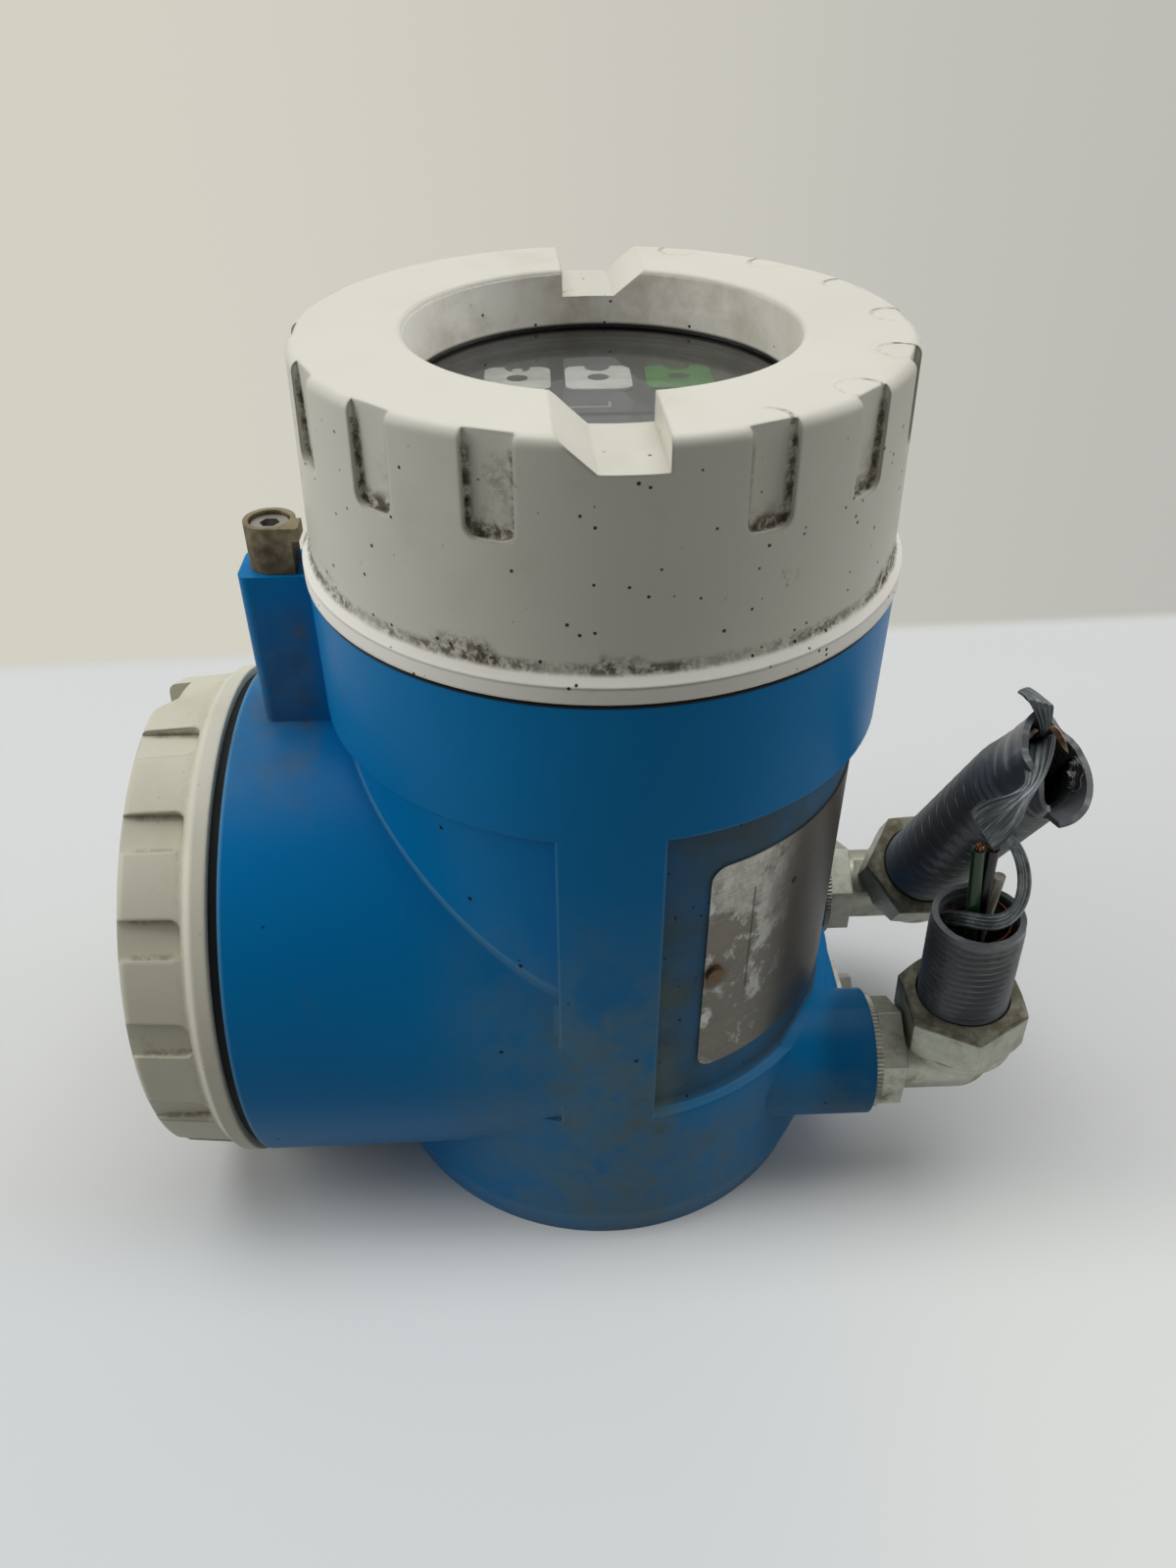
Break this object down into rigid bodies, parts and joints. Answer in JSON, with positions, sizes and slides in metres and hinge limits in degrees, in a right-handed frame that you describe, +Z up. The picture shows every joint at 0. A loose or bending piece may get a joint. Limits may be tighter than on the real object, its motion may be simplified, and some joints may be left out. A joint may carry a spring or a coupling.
{
  "type": "coriolis flow meter transmitter head",
  "caption": "Two-compartment transmitter head of a coriolis mass flow meter: drum housing with screwed window cover, side terminal cover, lock clamp and elbow conduit fittings.",
  "frame": {"origin": "centre of the flat base of the drum, on the surface that it stands on", "axes": "+Z up along the drum and display axis, -X out of the side terminal cover, +Y out of the neck socket"},
  "size_m": [0.2312, 0.1605, 0.227],
  "materials": {
    "housing_paint": "gloss powder coat",
    "cover_paint": "satin powder coat",
    "window": "clear",
    "ring_metal": "dark anodised",
    "seal_rubber": "matt",
    "bezel_plastic": "matt",
    "lcd_face": "gloss",
    "key_grey": "matt print",
    "key_green": "matt print",
    "board": "solder mask",
    "carrier_plastic": "matt",
    "terminal_plastic": "matt",
    "screw_steel": "plain",
    "clamp_metal": "dull, stained",
    "plate_steel": "weathered",
    "fitting_iron": "dull zinc plate",
    "conduit_jacket": "satin",
    "conduit_steel": "dull",
    "bond_copper": "tarnished copper",
    "wire_green": "satin",
    "wire_black": "satin",
    "wire_white": "satin"
  },
  "bodies": {
    "housing": {"housing": "housing_paint", "display_bezel": "bezel_plastic", "display_lcd": "lcd_face", "display_board": "board", "key_pads": "key_grey", "key_pad_green": "key_green", "display_holder": "carrier_plastic", "power_board": "board", "amplifier_board": "board", "io_board": "board", "board_carrier": "carrier_plastic", "feed_through": "carrier_plastic", "terminal_carrier": "carrier_plastic", "signal_terminals": "terminal_plastic", "power_terminals": "terminal_plastic", "terminal_screws": "screw_steel", "carrier_screws": "screw_steel", "lock_screw": "screw_steel", "nameplate": "plate_steel", "nameplate_rivets": "screw_steel", "earth_clamp": "clamp_metal", "earth_screw": "clamp_metal", "entry_seals": "fitting_iron", "front_connector": "fitting_iron", "front_nut": "fitting_iron", "front_gland_ring": "seal_rubber", "front_ferrule": "bond_copper", "front_jacket": "conduit_jacket", "front_core": "conduit_steel", "front_bond": "bond_copper", "wire_green": "wire_green", "wire_black": "wire_black", "wire_white": "wire_white", "rear_connector": "fitting_iron", "rear_nut": "fitting_iron", "rear_gland_ring": "seal_rubber", "rear_ferrule": "bond_copper", "rear_jacket": "conduit_jacket", "rear_core": "conduit_steel"},
    "display_seal": {"display_seal": "seal_rubber"},
    "display_cover": {"display_cover": "cover_paint", "window_glass": "window", "window_ring": "ring_metal"},
    "terminal_seal": {"terminal_seal": "seal_rubber"},
    "terminal_cover": {"terminal_cover": "cover_paint"},
    "lock_clamp": {"lock_clamp": "clamp_metal"}
  },
  "joints": [
    {"name": "display_cover_lift", "type": "slide", "parent": "housing", "child": "display_seal", "axis": [0, 0, 1], "range_m": [0, 0.015]},
    {"name": "display_cover_turn", "type": "hinge", "parent": "display_seal", "child": "display_cover", "pos_m": [0, 0, 0.178], "axis": [0, 0, 1], "range_deg": [0, 2700]},
    {"name": "terminal_cover_lift", "type": "slide", "parent": "housing", "child": "terminal_seal", "axis": [-1, 0, 0], "range_m": [0, 0.015]},
    {"name": "terminal_cover_turn", "type": "hinge", "parent": "terminal_seal", "child": "terminal_cover", "pos_m": [-0.0916, 0, 0.0697], "axis": [-1, 0, 0], "range_deg": [0, 2700]},
    {"name": "lock_clamp_swing", "type": "hinge", "parent": "housing", "child": "lock_clamp", "pos_m": [-0.074, 0, 0.18], "axis": [0, 0, 1], "range_deg": [-90, 0]}
  ],
  "couplings": [
    {"joint": "display_cover_lift", "follows": "display_cover_turn", "m_per_rad": 0.00031831},
    {"joint": "terminal_cover_lift", "follows": "terminal_cover_turn", "m_per_rad": 0.00031831}
  ]
}
